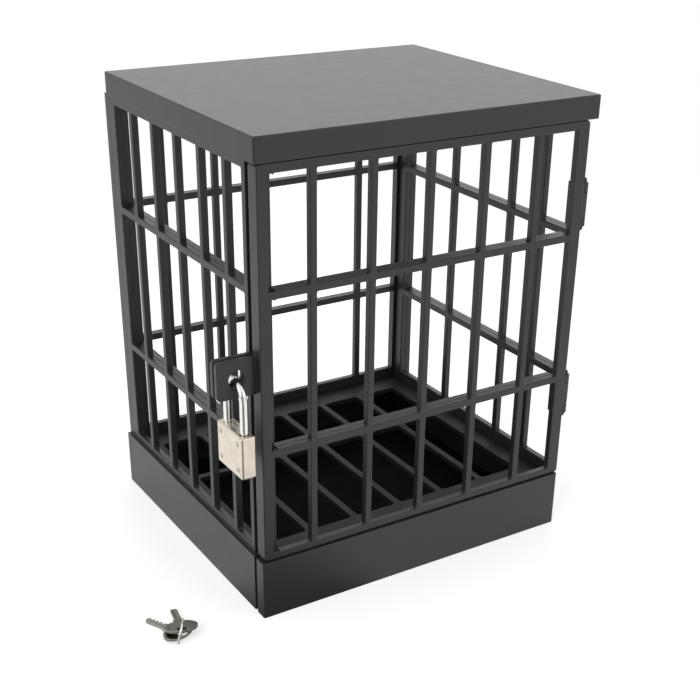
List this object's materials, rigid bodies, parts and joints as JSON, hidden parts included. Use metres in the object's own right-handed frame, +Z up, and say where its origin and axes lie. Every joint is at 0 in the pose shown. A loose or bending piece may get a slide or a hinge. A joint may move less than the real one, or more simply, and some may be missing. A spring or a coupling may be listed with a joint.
{
  "type": "lockable cage box",
  "caption": "Black plastic cage box with a barred hinged door, flat lid and slotted floor, locked at a corner hasp by a mini padlock, with its ringed keys beside it.",
  "frame": {"origin": "middle of the front kick plate's width and of the base's depth, on the ground", "axes": "+Z up, -Y out of the barred door, -X towards the hasp and padlock"},
  "size_m": [0.2094, 0.1479, 0.205],
  "materials": {
    "black_plastic": "moulded, fine satin grain",
    "pin_steel": "blackened",
    "shackle_chrome": "polished plating",
    "case_nickel": "satin nickel plating",
    "core_zinc": "as cast",
    "plug_brass": "turned",
    "latch_steel": "plain",
    "key_steel": "stamped, dull nickel",
    "ring_chrome": "bright wire"
  },
  "bodies": {
    "cage": {"lid": "black_plastic", "left_panel": "black_plastic", "right_panel": "black_plastic", "rear_panel": "black_plastic", "front_kick": "black_plastic", "floor_tray": "black_plastic", "base_cover": "black_plastic", "hinge_pin_upper": "pin_steel", "hinge_pin_lower": "pin_steel"},
    "door": {"door": "black_plastic"},
    "shackle": {"shackle": "shackle_chrome"},
    "padlock_case": {"case_shell_outer": "case_nickel", "case_shell_inner": "case_nickel", "case_core": "core_zinc", "case_rivets": "case_nickel", "shackle_spring": "latch_steel"},
    "plug": {"key_plug": "plug_brass", "key_wafers": "plug_brass"},
    "latch": {"latch_bolt": "latch_steel"},
    "ring": {"key_ring": "ring_chrome"},
    "first_key": {"key_1": "key_steel"},
    "second_key": {"key_2": "key_steel"}
  },
  "joints": [
    {"name": "door_swing", "type": "hinge", "parent": "cage", "child": "door", "pos_m": [0.08275, -0.06815, 0.1], "axis": [0, 0, 1], "range_deg": [0, 170]},
    {"name": "padlock_swing", "type": "hinge", "parent": "cage", "child": "shackle", "pos_m": [-0.0863, -0.06465, 0.1094], "axis": [0, 1, 0], "range_deg": [-4, 80]},
    {"name": "shackle_release", "type": "slide", "parent": "shackle", "child": "padlock_case", "axis": [0, 0, -1], "range_m": [0, 0.0072], "deforming": ["shackle_spring"]},
    {"name": "plug_turn", "type": "hinge", "parent": "padlock_case", "child": "plug", "pos_m": [-0.0863, -0.06465, 0.0725], "axis": [0, 0, -1], "range_deg": [0, 90]},
    {"name": "latch_slide", "type": "slide", "parent": "padlock_case", "child": "latch", "axis": [0, 1, 0], "range_m": [0, 0.0017]},
    {"name": "keys_lift", "type": "slide", "parent": "cage", "child": "ring", "axis": [0, 0, 1], "range_m": [0, 0.045]},
    {"name": "key_1_turn", "type": "hinge", "parent": "ring", "child": "first_key", "pos_m": [-0.1152, -0.0668, 0.0016], "axis": [-0.0299, 0.0694, 0.9971], "range_deg": [0, 25]},
    {"name": "key_2_turn", "type": "hinge", "parent": "ring", "child": "second_key", "pos_m": [-0.1152, -0.0668, 0.0036], "axis": [0.0395, 0.1686, 0.9849], "range_deg": [-25, 0]}
  ],
  "couplings": [
    {"joint": "plug_turn", "follows": "shackle_release", "rad_per_m": 218.17},
    {"joint": "latch_slide", "follows": "shackle_release", "ratio": 0.23611}
  ]
}
